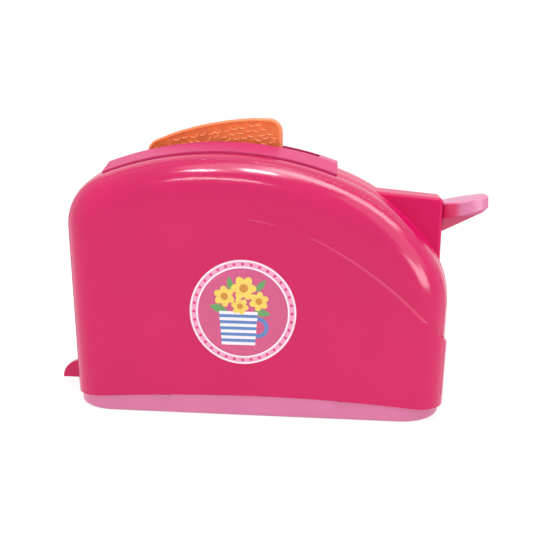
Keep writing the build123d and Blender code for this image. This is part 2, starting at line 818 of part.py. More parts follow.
def up_stop_pad():
    """Pad under the housing shelf, its underside parallel to the raised arm."""
    right = up_pad_right()
    left = right - up_pad_length
    half = housing_half_width - housing_wall - up_pad_side_gap
    left_low = arm_height_at(left, arm_slope, arm_top) + pad_gap
    right_low = arm_height_at(right, arm_slope, arm_top) + pad_gap
    points = ((left, up_pad_top()), (right, up_pad_top()), (right, right_low), (left, left_low))
    return side_prism(make_face(Polyline(*points, close=True)), -half, half)


def down_pad_bottom():
    low = arm_height_at(stop_post_x + stop_post_radius, lowered_slope, -arm_bottom)
    return low - pad_gap - pad_thickness


def down_stop_pad():
    low = down_pad_bottom()
    return upright_rod(stop_post_x, 0, stop_post_radius, low, low + pad_thickness)


def screw(x, y, z, length, direction):
    """Pan-head screw with its head seat at (x, y, z)."""
    seat = Plane(origin=(x, y, z), z_dir=direction)
    shank = extrude(seat * Circle(screw_shank_radius), amount=length)
    head = extrude(seat * Circle(screw_head_radius), amount=-screw_head_height)
    crown = head.edges().filter_by(GeomType.CIRCLE).sort_by(Axis(seat.origin, seat.z_dir))[0]
    return shank + chamfer(crown, screw_head_edge)


def base_screws():
    length = base_screw_top - base_screw_seat
    screws = []
    for x in (-base_screw_x, base_screw_x):
        for y in (-base_screw_y, base_screw_y):
            screws.append(screw(x, y, base_screw_seat, length, (0, 0, 1)))
    return Compound(screws)


def shell_screws():
    screws = []
    for x, z in shell_screw_places:
        screws.append(screw(x, screw_well_y, z, shell_screw_length, (0, -1, 0)))
    return Compound(screws)


def front_sticker(shell):
    disc = cross_rod(sticker_x, sticker_z, sticker_radius, -half_depth - sticker_thickness, -half_depth)
    return disc - shell


def write(name, shape):
    export_step(shape, f"parts/{name}.step")


def main():
    os.makedirs("parts", exist_ok=True)
    shell = front_shell()
    write("front_shell", shell)
    write("rear_shell", rear_shell())
    write("centre_band", centre_band())
    write("slot_collar", slot_collar())
    write("base", base())
    write("rocker_arm", rocker_arm())
    write("lever_knob", lever_knob())
    write("pivot_pin", pivot_pin())
    write("front_pivot_washer", pivot_washer(-1))
    write("rear_pivot_washer", pivot_washer(1))
    write("toast_slice", toast_slice())
    write("front_toast_guide", toast_guide(-1))
    write("rear_toast_guide", toast_guide(1))
    write("up_stop_pad", up_stop_pad())
    write("down_stop_pad", down_stop_pad())
    write("base_screws", base_screws())
    write("shell_screws", shell_screws())
    write("front_sticker", front_sticker(shell))


main()
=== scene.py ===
import json
import math
import random

import bmesh
import bpy
from mathutils import Matrix, Vector


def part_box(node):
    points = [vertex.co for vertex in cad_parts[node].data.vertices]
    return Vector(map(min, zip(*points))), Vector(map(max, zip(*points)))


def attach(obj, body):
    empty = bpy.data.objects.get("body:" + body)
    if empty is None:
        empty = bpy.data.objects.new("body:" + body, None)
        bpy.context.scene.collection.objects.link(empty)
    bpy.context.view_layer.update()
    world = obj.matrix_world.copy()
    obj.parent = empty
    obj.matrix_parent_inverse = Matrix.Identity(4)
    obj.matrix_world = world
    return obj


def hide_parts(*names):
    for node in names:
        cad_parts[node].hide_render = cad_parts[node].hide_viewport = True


# Toy toaster, dressed. Metres, +X towards the lever, -Y towards the front, +Z up.

MM = 0.001

# Camera
CAMERA_PLACE = (0.03965, -0.3746, 0.1410)
CAMERA_YAW = 5.438          # degrees, turned towards -X
CAMERA_PITCH = 12.101       # degrees below level
CAMERA_ROLL = 0.348         # degrees
CAMERA_NEAR = 0.01
SENSOR = 36.0               # width, in millimetres
FOCAL_PIXELS = 800.0
IMAGE_SIDE = 540.0          # pixels

# Light
WORLD_STRENGTH = 0.85
LAMP_TARGET = (0.0, 0.0, 0.06)
LAMPS = (
    # name, degrees from the front towards +X, degrees up, distance, width, height, brightness
    ("ceiling", 40, 84, 1.0, 0.8, 0.5, 2.6),
    ("side_softbox", 62, 38, 1.0, 0.55, 0.75, 1.4),
)
FILLS = (
    # lamps that show no reflection, in the same terms
    ("left_fill", -65, 10, 1.0, 0.4, 0.4, 2.4),
)
GLINTS = (
    # lamps that only show as reflections in the gloss, in the same terms
    ("ceiling_lamp_left", -31, 64, 1.0, 0.14, 0.06, 60.0),
    ("ceiling_lamp_right", 8, 75, 1.0, 0.13, 0.10, 80.0),
    ("ceiling_strip", -12, 40, 1.0, 0.34, 0.04, 30.0),
    ("window", 50, 9, 1.2, 0.40, 0.32, 9.0),
    ("window_edge", 62, 10, 1.2, 0.04, 0.36, 22.0),
    ("panel_edge_strip", 86, 62, 1.0, 0.26, 0.9, 8.0),
)

# Floor
FLOOR_HALF = 3.0
FLOOR_DROP = 0.2 * MM       # below the base, so that the two don't lie in one plane
FLOOR_GREY = 0.94
FLOOR_ROUGHNESS = 0.95
FLOOR_SHADE = 0.3           # share of the floor that takes light and shadow, the rest is white
FLOOR_WHITE = 1.14          # with it the floor comes out white where no shadow falls

# Colours, as sRGB bytes
MAGENTA = (204, 4, 90)
# the body's magenta, a little lighter on the band: painted light for its lower gloss
BAND_MAGENTA = (212, 14, 94)
# the body's magenta, paler on the collar: painted sheen of the light from above
COLLAR_PINK = (206, 32, 108)
PALE_PINK = (214, 118, 162)
KNOB_ROOT_REFLECTION = (216, 16, 90)   # painted reflection of the magenta housing, and of the arm as if seen through the thin plastic
# painted shade on the wedge under the knob's plate
KNOB_WEDGE_SHADE = (204, 78, 122)
TOAST_BROWN = (248, 124, 64)
# the toast's colour, paler on the crumb marks: painted highlight on their raised tops
TOAST_RIDGE = (250, 146, 88)
STEEL = (176, 178, 180)
NYLON = (226, 224, 216)
PAD_RUBBER = (52, 50, 52)
PRINT_WHITE = (246, 236, 242)
PRINT_BLUSH = (238, 158, 192)
PRINT_ROSE = (214, 44, 110)
PRINT_GROUND = (206, 84, 130)
PRINT_BLUE = (88, 132, 190)
PRINT_YELLOW = (240, 208, 96)
PRINT_AMBER = (206, 140, 48)
PRINT_GREEN = (104, 160, 96)

# Noises: scale per metre and detail
FLOW_DETAIL = 3.0           # each plastic gives the scale of its flow marks itself
POLISH_NOISE = (60.0, 4.0)
GRAIN_NOISE = (700.0, 2.0)
BLOTCH_NOISE = (180.0, 3.0)
TURNING_NOISE = (900.0, 2.0)
PRINT_NOISE = (1500.0, 2.0)
WEAR_NOISE = (120.0, 3.0)
PORE_NOISE = (1200.0, 4.0)
NOISE_ROUGHNESS = 0.55

# Mottling: where on its noise a colour starts and stops changing
WIDE_SPAN = (0.3, 0.7)
NARROW_SPAN = (0.35, 0.65)

# Surfaces
POLISH_SPREAD = 0.05        # of the roughness, to either side
GRAIN_DEPTH = 0.3 * MM
STEEL_SHADES = (0.9, 1.06)
STEEL_ROUGHNESS = (0.26, 0.44)
INK_SHADES = (0.94, 1.05)
INK_ROUGHNESS = (0.28, 0.4)
RUBBER_SHADES = (0.7, 1.3)
RUBBER_ROUGHNESS = (0.75, 0.95)
RUBBER_GRAIN = 0.5
RUBBER_DEPTH = 0.2 * MM

# Play slice
RIM_RADIUS = 1.2 * MM
RIM_LAND = 0.2 * MM         # flat top of the rim
RIM_STEPS = 6
FACE_SINK = 0.5 * MM        # of each face below the rim
FACE_BEVEL = 0.5 * MM       # width of the slope between the two
FACE_MARGIN = RIM_RADIUS + RIM_LAND + FACE_BEVEL
SLICE_CROWN = 4.0 * MM      # rise of the top over its ends
SLICE_CROWN_STEPS = 12
SLICE_LOBE = 6.5 * MM       # radius of the upper corners
SLICE_LOBE_ROOM = 1.4       # lobe radii from a side to the end of the crown's arc
SLICE_FLARE = 1.0 * MM      # of the upper corners past the sides, before they are rounded
SLICE_WAIST_DEPTH = 2.4 * MM
SLICE_WAIST_HEIGHT = 39.0 * MM
SLICE_BEND = 3.0 * MM       # radius at the top of the waist
SLICE_FOOT = 4.0 * MM       # radius of the lower corners
SLICE_SMOOTH_ANGLE = 40     # degrees
CORNER_STEPS = 6

# Crumb marks
RIDGE_SEED = 7
RIDGE_PITCH = 3.9 * MM      # between marks in a row
RIDGE_ROW = 2.4 * MM        # between rows
RIDGE_STRAY = 0.16          # of the pitch
ROW_STRAY = 0.2             # of the row's height
RIDGE_START = (180, 230)    # degrees, lowest and highest
RIDGE_SWEEP = (100, 160)    # degrees
RIDGE_RADIUS = 1.9 * MM
RIDGE_SIZE = (0.8, 1.15)    # of the radius
RIDGE_HALF_WIDTH = 0.5 * MM
RIDGE_HEIGHT = 0.4 * MM
RIDGE_THIN = 0.25           # what is left of width and height at the ends
RIDGE_PROFILE = ((-1.0, -0.3), (-0.5, 0.75), (0.0, 1.0), (0.5, 0.75), (1.0, -0.3))
RIDGE_STEPS = 8
RIDGE_SMOOTH_ANGLE = 50     # degrees

# Painted reflection and shade on the knob
TINT_REACH = 8.5 * MM       # from the knob's root to where the painted reflection ends
TINT_BLEND = 0.5 * MM       # to either side of the wedge's edge
TINT_ROOT = 0.95            # strength of the painted reflection at the root
TINT_ROOT_UNDER = 0.25      # and the share of it that is left on the wedge
TINT_TOP = (0.4, 0.8)       # upward part of the normal, from a side to the top, which stays pale without painted reflection or shade
WEDGE_HEIGHT = 6.0 * MM     # of the wedge under the plate, at the root
WEDGE_RISE = 0.127          # of the plate's underside towards the tip

# Seam
SEAM_DEPTH = 28.0 * MM      # from the middle plane
SEAM_MIDDLE = 45.0 * MM     # height of the point that the seam goes round
SEAM_REACH = 200.0 * MM     # from that point to where the casts start, outside the shells
SEAM_TURN = 112.0           # degrees to either side of straight up
SEAM_STEPS = 240
SEAM_WIDTH = 0.7 * MM
SEAM_HEIGHT = 0.2 * MM
SEAM_SMOOTH_ANGLE = 60      # degrees

# Sticker: every length is a share of the disc's radius
LAYER = 0.02 * MM           # thickness of one printed layer
GROUND_LEVEL = 1            # levels count printed layers from the disc
DECOR_LEVEL = 2
MUG_LEVEL = 3
STRIPE_LEVEL = 4
FLOWER_LEVEL = 5            # of the first flower, each next one lies a level higher
RING_OUTER = 0.985
RING_INNER = 0.865
RING_SIDES = 96
EDGE_LINE = 0.03
RING_DOTS = 36
RING_DOT = 0.028
DOT_SIDES = 12
MUG_FOOT = -0.62
MUG_RIM = 0.02
MUG_HALF_WIDTH = 0.36
MUG_TAPER = 0.14            # of the half width, lost at the foot
MUG_STRIPES = 5
MUG_SHIFT = -0.08
HANDLE_HEIGHT = -0.28
HANDLE_OUTER = 0.2
HANDLE_INNER = 0.125
HANDLE_SIDES = 32
FLOWERS = (
    # middle, radius, turn in radians
    ((-0.34, 0.30), 0.20, 0.1),
    ((0.02, 0.46), 0.235, 0.5),
    ((0.30, 0.22), 0.185, 0.9),
    ((-0.05, 0.12), 0.165, 0.3),
)
FLOWER_PETALS = 6
PETAL_DEPTH = 0.32          # of the flower's radius
PETAL_SAMPLES = 10
HEART_SHARE = 0.34          # of the flower's radius
HEART_SIDES = 20
LEAVES = (
    # start, end, half width
    ((-0.28, 0.02), (-0.62, 0.12), 0.075),
    ((0.18, 0.02), (0.52, -0.02), 0.07),
    ((-0.2, 0.36), (-0.26, 0.68), 0.06),
    ((0.24, 0.4), (0.42, 0.62), 0.06),
)
LEAF_SAMPLES = 8


def linear(rgb, shade=1.0):
    """sRGB bytes to a linear colour with alpha, made lighter or darker by a factor."""
    channels = []
    for byte in rgb:
        share = byte / 255
        channel = share / 12.92 if share <= 0.04045 else ((share + 0.055) / 1.055) ** 2.4
        channels.append(min(1.0, channel * shade))
    return (*channels, 1.0)


# Nodes: the owner is a material or the world

def add_node(owner, kind, **inputs):
    node = owner.node_tree.nodes.new(kind)
    for name, value in inputs.items():
        node.inputs[name].default_value = value
    return node


def link(owner, start, end):
    owner.node_tree.links.new(start, end)


def calculate(owner, operation, first, second):
    """Math on two sockets, or on a socket and a number."""
    node = add_node(owner, "ShaderNodeMath")
    node.operation = operation
    link(owner, first, node.inputs[0])
    if isinstance(second, float):
        node.inputs[1].default_value = second
    else:
        link(owner, second, node.inputs[1])
    return node.outputs[0]


def spread(owner, source, low, high):
    """Stretches a value between 0 and 1 to run from low to high."""
    node = add_node(owner, "ShaderNodeMapRange")
    node.inputs["To Min"].default_value = low
    node.inputs["To Max"].default_value = high
    link(owner, source, node.inputs["Value"])
    return node.outputs["Result"]


def fade(owner, source, start, end, first, last):
    """Value that runs smoothly from first to last while the source runs from start to end."""
    node = add_node(owner, "ShaderNodeMapRange")
    node.interpolation_type = "SMOOTHSTEP"
    ranges = (("From Min", start), ("From Max", end), ("To Min", first), ("To Max", last))
    for name, value in ranges:
        node.inputs[name].default_value = value
    link(owner, source, node.inputs["Value"])
    return node.outputs["Result"]


# Materials

def new_material(name):
    material = bpy.data.materials.new(name)
    material.use_nodes = True
    nodes = material.node_tree.nodes
    nodes.clear()
    shader = nodes.new("ShaderNodeBsdfPrincipled")
    output = nodes.new("ShaderNodeOutputMaterial")
    link(material, shader.outputs["BSDF"], output.inputs["Surface"])
    return material, shader


def object_place(material):
    return add_node(material, "ShaderNodeTexCoord").outputs["Object"]


def noise(material, place, scale, detail):
    node = add_node(
        material, "ShaderNodeTexNoise", Scale=scale, Detail=detail, Roughness=NOISE_ROUGHNESS
    )
    link(material, place, node.inputs["Vector"])
    return node.outputs["Fac"]


def mottle(material, shader, source, rgb, span, shades):
    """Base colour that runs between two shades of one colour over a span of a noise."""
    node = add_node(material, "ShaderNodeValToRGB")
    for element, position, shade in zip(node.color_ramp.elements, span, shades):
        element.position = position
        element.color = linear(rgb, shade)
    link(material, source, node.inputs["Fac"])
    link(material, node.outputs["Color"], shader.inputs["Base Color"])


def roughen(material, shader, source, low, high):
    link(material, spread(material, source, low, high), shader.inputs["Roughness"])


def add_bump(material, shader, height, strength, distance):
    node = add_node(material, "ShaderNodeBump", Strength=strength, Distance=distance)
    link(material, height, node.inputs["Height"])
    link(material, node.outputs["Normal"], shader.inputs["Normal"])
    return node


def plastic(name, rgb, roughness=0.3, variation=0.05, grain=0.05, edge=0.3 * MM, gloss=0.5,
            flow=22.0):
    """Injection-moulded plastic: faint flow marks, an uneven polish and softened edges."""
    material, shader = new_material(name)
    shader.inputs["Specular IOR Level"].default_value = gloss
    place = object_place(material)
    flow_marks = noise(material, place, flow, FLOW_DETAIL)
    mottle(material, shader, flow_marks, rgb, WIDE_SPAN, (1 - variation, 1 + variation))
    polish = noise(material, place, *POLISH_NOISE)
    roughen(material, shader, polish, roughness - POLISH_SPREAD, roughness + POLISH_SPREAD)
    fine_grain = noise(material, place, *GRAIN_NOISE)
    bump = add_bump(material, shader, fine_grain, grain, GRAIN_DEPTH)
    soften = add_node(material, "ShaderNodeBevel", Radius=edge)
    link(material, soften.outputs["Normal"], bump.inputs["Normal"])
    return material


def metal(name, rgb):
    """Plated steel with fine turning marks."""
    material, shader = new_material(name)
    place = object_place(material)
    blotches = noise(material, place, *BLOTCH_NOISE)
    mottle(material, shader, blotches, rgb, NARROW_SPAN, STEEL_SHADES)
    roughen(material, shader, noise(material, place, *TURNING_NOISE), *STEEL_ROUGHNESS)
    shader.inputs["Metallic"].default_value = 1.0
    return material


def ink(name, rgb):
    """Printed ink under a glossy film, with a fine print grain."""
    material, shader = new_material(name)
    place = object_place(material)
    mottle(material, shader, noise(material, place, *PRINT_NOISE), rgb, NARROW_SPAN, INK_SHADES)
    roughen(material, shader, noise(material, place, *WEAR_NOISE), *INK_ROUGHNESS)
    return material


def rubber(name, rgb):
    """Matt rubber with an open grain."""
    material, shader = new_material(name)
    pores = noise(material, object_place(material), *PORE_NOISE)
    mottle(material, shader, pores, rgb, WIDE_SPAN, RUBBER_SHADES)
    roughen(material, shader, pores, *RUBBER_ROUGHNESS)
    add_bump(material, shader, pores, RUBBER_GRAIN, RUBBER_DEPTH)
    return material


def tint(material, shader, factor, rgb):
    """Mixes a second colour into a material's base colour."""
    mix = add_node(material, "ShaderNodeMix")
    mix.data_type = "RGBA"
    colours = [socket for socket in mix.inputs if socket.type == "RGBA"]
    base = shader.inputs["Base Color"]
    link(material, base.links[0].from_socket, colours[0])
    colours[1].default_value = linear(rgb)
    link(material, factor, mix.inputs["Factor"])
    link(material, next(socket for socket in mix.outputs if socket.type == "RGBA"), base)


def split(material, vector):
    """Outputs X, Y and Z of a vector."""
    node = add_node(material, "ShaderNodeSeparateXYZ")
    link(material, vector, node.inputs["Vector"])
    return node.outputs


def knob_plastic():
    """Pale plastic with a painted reflection of the housing near the root and painted shade on the
    wedge, not on the top.
    """
    material = plastic("knob_plastic", PALE_PINK)
    shader = material.node_tree.nodes["Principled BSDF"]
    low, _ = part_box("lever_knob")
    coordinates = add_node(material, "ShaderNodeTexCoord")
    place = coordinates.outputs["Object"]
    # The top keeps the plain pale colour; only the sides get painted reflection and shade
    upward = split(material, coordinates.outputs["Normal"])["Z"]
    not_top = fade(material, upward, *TINT_TOP, 1.0, 0.0)

    # Height above a plane that rises with the plate's underside
    lift = add_node(material, "ShaderNodeVectorMath")
    lift.operation = "DOT_PRODUCT"
    lift.inputs[1].default_value = (-WEDGE_RISE, 0, 1)
    link(material, place, lift.inputs[0])
    height = lift.outputs["Value"]
    edge = low.z - WEDGE_RISE * low.x + WEDGE_HEIGHT
    blend = (edge - TINT_BLEND, edge + TINT_BLEND)

    # Painted shade on the wedge under the plate
    wedge_shade = fade(material, height, *blend, 1.0, 0.0)
    tint(material, shader, calculate(material, "MULTIPLY", wedge_shade, not_top), KNOB_WEDGE_SHADE)
    # Painted reflection of the housing, strongest at the root and fading towards the tip
    reach = (low.x + TINT_REACH / 2, low.x + TINT_REACH)
    near = fade(material, split(material, place)["X"], *reach, TINT_ROOT, 0.0)
    above = fade(material, height, *blend, TINT_ROOT_UNDER, 1.0)
    root_reflection = calculate(material, "MULTIPLY", calculate(material, "MULTIPLY", near, above), not_top)
    tint(material, shader, root_reflection, KNOB_ROOT_REFLECTION)
    return material


def paint(material, *names):
    for name in names:
        mesh = frame["nodes"][name].data
        mesh.materials.clear()
        mesh.materials.append(material)


# Meshes

def add_object(name, data):
    made = bpy.data.objects.new(name, data)
    bpy.context.scene.collection.objects.link(made)
    return made


def add_piece(name, builder, material, body, smooth_angle=None):
    """Turns a builder's faces into a piece of a body, smooth up to an angle in degrees."""
    bmesh.ops.recalc_face_normals(builder, faces=builder.faces)
    mesh = bpy.data.meshes.new(name)
    builder.to_mesh(mesh)
    builder.free()
    if smooth_angle is not None:
        mesh.shade_smooth()
        mesh.set_sharp_from_angle(angle=math.radians(smooth_angle))
    mesh.materials.append(material)
    piece = add_object(name, mesh)
    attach(piece, body)
    return piece


def add_skin(builder, loops, ring=False):
    """Joins closed loops of points, the last one to the first in a ring, else with caps."""
    rows = [[builder.verts.new(point) for point in loop] for loop in loops]
    followers = rows[1:] + rows[:1] if ring else rows[1:]
    for first, second in zip(rows, followers):
        for i in range(len(first)):
            j = (i + 1) % len(first)
            builder.faces.new((first[i], first[j], second[j], second[i]))
    if not ring:
        builder.faces.new(list(reversed(rows[0])))
        builder.faces.new(rows[-1])


def rounded_corner(before, corner, after, radius):
    """Points of the arc that rounds a corner between two straight sides."""
    start = (before - corner).normalized()
    end = (after - corner).normalized()
    half = start.angle(end) / 2
    centre = corner + (start + end).normalized() * (radius / math.sin(half))
    reach = radius / math.tan(half)
    first = corner + start * reach - centre
    turn = first.angle_signed(corner + end * reach - centre)
    points = []
    for step in range(CORNER_STEPS + 1):
        angle = -turn * step / CORNER_STEPS
        points.append(centre + Matrix.Rotation(angle, 2) @ first)
    return points


def rounded_loop(corners):
    """Closed outline through (point, radius) corners, rounded where the radius is above zero."""
    points = []
    count = len(corners)
    for i, (corner, radius) in enumerate(corners):
        if radius > 0:
            before = corners[i - 1][0]
            after = corners[(i + 1) % count][0]
            points += rounded_corner(before, corner, after, radius)
        else:
            points.append(corner)
    return points


def inset_loop(points, distance):
    """Moves a counter-clockwise outline inwards."""
    moved = []
    count = len(points)
    for i, point in enumerate(points):
        tangent = (points[(i + 1) % count] - points[i - 1]).normalized()
        moved.append(point + Vector((-tangent.y, tangent.x)) * distance)
    return moved


def on_circle(middle, radius, angle):
    return middle[0] + radius * math.cos(angle), middle[1] + radius * math.sin(angle)


def circle(middle, radius, sides):
    return [on_circle(middle, radius, 2 * math.pi * i / sides) for i in range(sides)]


# Play slice

def extent(name, direction):
    """Lowest and highest reach of a CAD node's vertices along a direction."""
    reach = [vertex.co.dot(direction) for vertex in frame["nodes"][name].data.vertices]
    return min(reach), max(reach)


def joint_axis(name):
    return Vector(next(joint["axis"] for joint in frame["joints"] if joint["name"] == name))


def slice_frame():
    """Placement of the slice (across, to the back and up from the middle of its foot), with its
    half width, half thickness and height."""
    up = joint_axis("toast_lift").normalized()
    along = Vector((up.z, 0, -up.x))
    left, right = extent("toast_slice", along)
    foot, top = extent("toast_slice", up)
    origin = along * (left + right) / 2 + up * foot
    place = Matrix.Translation(origin) @ Matrix((along, (0, 1, 0), up)).transposed().to_4x4()
    low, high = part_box("toast_slice")
    return place, (right - left) / 2, (high.y - low.y) / 2, top - foot


def slice_outline(half_width, height):
    """Bread slice seen from the front, counter-clockwise, with its foot at zero height."""
    waist = half_width - SLICE_WAIST_DEPTH
    flare = half_width + SLICE_FLARE
    right = [
        (Vector((waist, 0)), SLICE_FOOT),
        (Vector((waist, SLICE_WAIST_HEIGHT)), SLICE_BEND),
        (Vector((flare, height - SLICE_CROWN)), SLICE_LOBE),
    ]
    crown_radius = (flare**2 + SLICE_CROWN**2) / (2 * SLICE_CROWN)
    crown_half = half_width - SLICE_LOBE * SLICE_LOBE_ROOM
    crown = []
    for step in range(1, SLICE_CROWN_STEPS):
        x = crown_half * (1 - 2 * step / SLICE_CROWN_STEPS)
        rise = height - crown_radius + math.sqrt(crown_radius**2 - x**2)
        crown.append((Vector((x, rise)), 0.0))
    left = [(Vector((-point.x, point.y)), radius) for point, radius in reversed(right)]
    return rounded_loop(right + crown + left)


def slice_sections(half_thickness):
    """(inset, depth) of each loop from the middle of the front face, round the rim, to the back."""
    front = [
        (FACE_MARGIN, half_thickness - FACE_SINK),
        (RIM_RADIUS + RIM_LAND, half_thickness - FACE_SINK / 4),
        (RIM_RADIUS + RIM_LAND / 2, half_thickness),
    ]
    for step in range(RIM_STEPS + 1):
        angle = math.pi / 2 * (1 - step / RIM_STEPS)
        inset = RIM_RADIUS * (1 - math.cos(angle))
        front.append((inset, half_thickness - RIM_RADIUS * (1 - math.sin(angle))))
    return front + [(inset, -depth) for inset, depth in reversed(front)]


def make_slice(material):
    place, half_width, half_thickness, height = slice_frame()
    outline = slice_outline(half_width, height)
    loops = []
    for inset, depth in slice_sections(half_thickness):
        points = inset_loop(outline, inset)
        loops.append([place @ Vector((point.x, -depth, point.y)) for point in points])
    builder = bmesh.new()
    add_skin(builder, loops)
    piece = add_piece("toast_body", builder, material, "toast", SLICE_SMOOTH_ANGLE)
    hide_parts("toast_slice")


def add_ridge(builder, place, middle, radius, start, sweep, face, side):
    """Raised arc on a face of the slice, thin at both ends."""
    loops = []
    for step in range(RIDGE_STEPS + 1):
        angle = start + sweep * step / RIDGE_STEPS
        swell = RIDGE_THIN + (1 - RIDGE_THIN) * math.sin(math.pi * step / RIDGE_STEPS)
        loop = []
        for across, rise in RIDGE_PROFILE:
            x, z = on_circle(middle, radius + across * RIDGE_HALF_WIDTH * swell, angle)
            depth = face + rise * RIDGE_HEIGHT * swell
            loop.append(place @ Vector((x, side * depth, z)))
        loops.append(loop)
    add_skin(builder, loops)


def room_inside(outline, point):
    """Distance from a point to the nearest side of an outline, below zero outside the outline."""
    nearest = math.inf
    inside = False
    for i, corner in enumerate(outline):
        side = outline[(i + 1) % len(outline)] - corner
        away = point - corner
        share = min(1.0, max(0.0, away.dot(side) / side.length_squared))
        nearest = min(nearest, (away - side * share).length)
        if (corner.y > point.y) != (corner.y + side.y > point.y):
            if point.x < corner.x + side.x * (point.y - corner.y) / side.y:
                inside = not inside
    return nearest if inside else -nearest


def arc_fits(outline, middle, radius, start, sweep):
    """Whether an arc's ends and middle stay on the flat of the slice's face."""
    for share in (0.0, 0.5, 1.0):
        point = Vector(on_circle(middle, radius, start + sweep * share))
        if room_inside(outline, point) < FACE_MARGIN:
            return False
    return True


def make_ridges(material):
    """Crumb marks: short arcs scattered over both faces of the slice."""
    place, half_width, half_thickness, height = slice_frame()
    outline = slice_outline(half_width, height)
    face = half_thickness - FACE_SINK
    rows = int(height / RIDGE_ROW)
    columns = int(2 * half_width / RIDGE_PITCH) + 1
    draw = random.Random(RIDGE_SEED)
    builder = bmesh.new()
    for side in (-1, 1):
        for row in range(rows):
            for column in range(columns):
                x = (column + 0.5 * (row % 2)) * RIDGE_PITCH - half_width
                x += draw.uniform(-1, 1) * RIDGE_PITCH * RIDGE_STRAY
                z = (row + draw.uniform(-1, 1) * ROW_STRAY) * RIDGE_ROW
                start = math.radians(draw.uniform(*RIDGE_START))
                sweep = math.radians(draw.uniform(*RIDGE_SWEEP))
                radius = RIDGE_RADIUS * draw.uniform(*RIDGE_SIZE)
                if arc_fits(outline, (x, z), radius, start, sweep):
                    add_ridge(builder, place, (x, z), radius, start, sweep, face, side)
    add_piece(
        "toast_crumb_marks", builder, material, "toast", RIDGE_SMOOTH_ANGLE
    )


# Seam along each shell, where the shoulder meets the top

def outer_point(node, angle, y):
    """Point and normal on a node's outer skin, cast in towards the middle of the body."""
    outward = Vector((math.sin(angle), 0, math.cos(angle)))
    middle = Vector((0, y, SEAM_MIDDLE))
    hit, point, normal, _ = frame["nodes"][node].ray_cast(middle + outward * SEAM_REACH, -outward)
    return (point, normal) if hit else None


def make_seam(name, node, y, material):
    """Fine raised line that follows the outer skin of a shell at one depth."""
    loops = []
    for step in range(SEAM_STEPS + 1):
        angle = math.radians(SEAM_TURN) * (2 * step / SEAM_STEPS - 1)
        near = outer_point(node, angle, y - SEAM_WIDTH / 2)
        crest = outer_point(node, angle, y)
        far = outer_point(node, angle, y + SEAM_WIDTH / 2)
        if near and crest and far:
            point, normal = crest
            lift = normal * SEAM_HEIGHT
            loops.append([point - lift, near[0], point + lift, far[0]])
    builder = bmesh.new()
    add_skin(builder, loops)
    add_piece(name, builder, material, "housing", SEAM_SMOOTH_ANGLE)


# Sticker

class Badge:
    """Printed layers on the sticker's disc: shares of its radius from its middle."""

    def __init__(self):
        low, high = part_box("front_sticker")
        self.radius = (high.x - low.x) / 2
        self.middle = ((low.x + high.x) / 2, (low.z + high.z) / 2)
        self.face = low.y

    def loop(self, outline, level):
        """An outline at the height of a level."""
        points = []
        for across, up in outline:
            x = self.middle[0] + across * self.radius
            z = self.middle[1] + up * self.radius
            points.append(Vector((x, self.face - level * LAYER, z)))
        return points

    def lay(self, name, material, *shapes):
        """Piece of print: each shape is a level, an outline and, in a ring, its inner outline."""
        builder = bmesh.new()
        for level, outline, *hole in shapes:
            loops = [self.loop(outline, level - 1), self.loop(outline, level)]
            for inner in hole:
                loops += [self.loop(inner, level), self.loop(inner, level - 1)]
            add_skin(builder, loops, ring=bool(hole))
        add_piece(name, builder, material, "housing")


def ring_dots():
    """Dots along the middle of the ring."""
    radius = (RING_OUTER - EDGE_LINE + RING_INNER) / 2
    return [circle(middle, RING_DOT, DOT_SIDES) for middle in circle((0, 0), radius, RING_DOTS)]


def mug_band(low, high):
    """Stretch of the mug's side between two heights; the mug narrows towards its foot."""
    points = []
    for height, side in ((low, -1), (low, 1), (high, 1), (high, -1)):
        share = (height - MUG_FOOT) / (MUG_RIM - MUG_FOOT)
        half_width = MUG_HALF_WIDTH * (1 - MUG_TAPER + MUG_TAPER * share)
        points.append((MUG_SHIFT + side * half_width, height))
    return points


def mug_stripes():
    step = (MUG_RIM - MUG_FOOT) / (2 * MUG_STRIPES + 1)
    feet = [MUG_FOOT + (2 * i + 1) * step for i in range(MUG_STRIPES)]
    return [mug_band(foot, foot + step) for foot in feet]


def leaf(start, end, half_width):
    """Pointed leaf between two points."""
    run = (end[0] - start[0], end[1] - start[1])
    length = math.hypot(*run)
    across = (-run[1] / length, run[0] / length)
    points = []
    for side in (1, -1):
        for i in range(LEAF_SAMPLES):
            share = i / LEAF_SAMPLES if side > 0 else 1 - i / LEAF_SAMPLES
            bulge = side * half_width * math.sin(math.pi * share)
            x = start[0] + run[0] * share + across[0] * bulge
            y = start[1] + run[1] * share + across[1] * bulge
            points.append((x, y))
    return points


def petals(middle, radius, turn):
    """Flower outline with rounded petals."""
    points = []
    total = FLOWER_PETALS * PETAL_SAMPLES
    for i in range(total):
        angle = 2 * math.pi * i / total + turn
        wave = abs(math.sin(FLOWER_PETALS * (angle - turn) / 2))
        reach = radius * (1 - PETAL_DEPTH + PETAL_DEPTH * wave)
        points.append(on_circle(middle, reach, angle))
    return points


